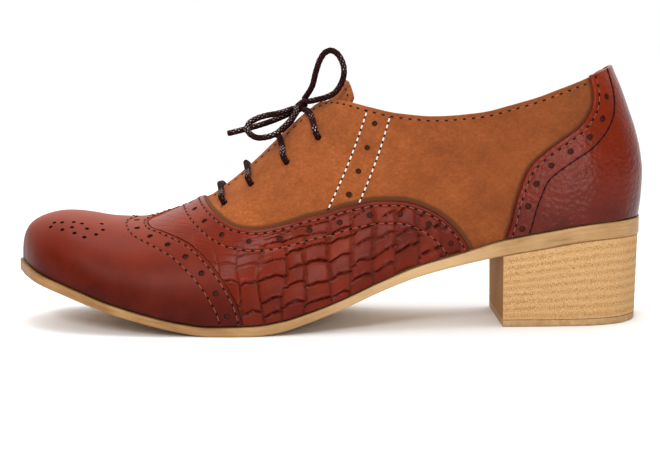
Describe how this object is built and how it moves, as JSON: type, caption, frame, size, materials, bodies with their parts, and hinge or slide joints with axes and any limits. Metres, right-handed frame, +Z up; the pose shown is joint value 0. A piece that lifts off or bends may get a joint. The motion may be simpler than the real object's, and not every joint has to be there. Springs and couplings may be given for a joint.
{
  "type": "heeled oxford shoe",
  "caption": "Women's lace-up oxford with a wing toe cap, embossed vamp, suede quarters, a heel counter, a leather sole and a stacked block heel.",
  "frame": {"origin": "on the floor under the middle of the shoe's box", "axes": "+Z up, -X toward the toe, +X toward the heel, -Y toward the outer side of the foot"},
  "size_m": [0.2634, 0.0849, 0.1133],
  "materials": {
    "suede": "brushed suede, tan",
    "smooth_leather": "polished, mahogany brown",
    "embossed_leather": "embossed with scales, glossy, mahogany brown",
    "lining_leather": "smooth, tan",
    "sole_leather": "waxed edge, pale tan",
    "stacked_leather": "layered edge, pale tan",
    "top_piece_rubber": "matt, brown",
    "waxed_cotton": "round waxed cord, dark brown"
  },
  "bodies": {
    "root": {"outsole": "sole_leather", "heel_block": "stacked_leather", "heel_top_piece": "top_piece_rubber", "insole": "lining_leather", "upper": "suede", "tongue": "suede", "wing_cap": "smooth_leather", "vamp_panel": "embossed_leather", "heel_counter": "smooth_leather", "lace_bar_1": "waxed_cotton", "lace_bar_2": "waxed_cotton", "lace_bar_3": "waxed_cotton", "lace_lead_outer": "waxed_cotton", "lace_lead_inner": "waxed_cotton", "lace_knot": "waxed_cotton", "lace_loop_up": "waxed_cotton", "lace_loop_side": "waxed_cotton", "lace_end_outer": "waxed_cotton", "lace_end_inner": "waxed_cotton"}
  },
  "joints": []
}
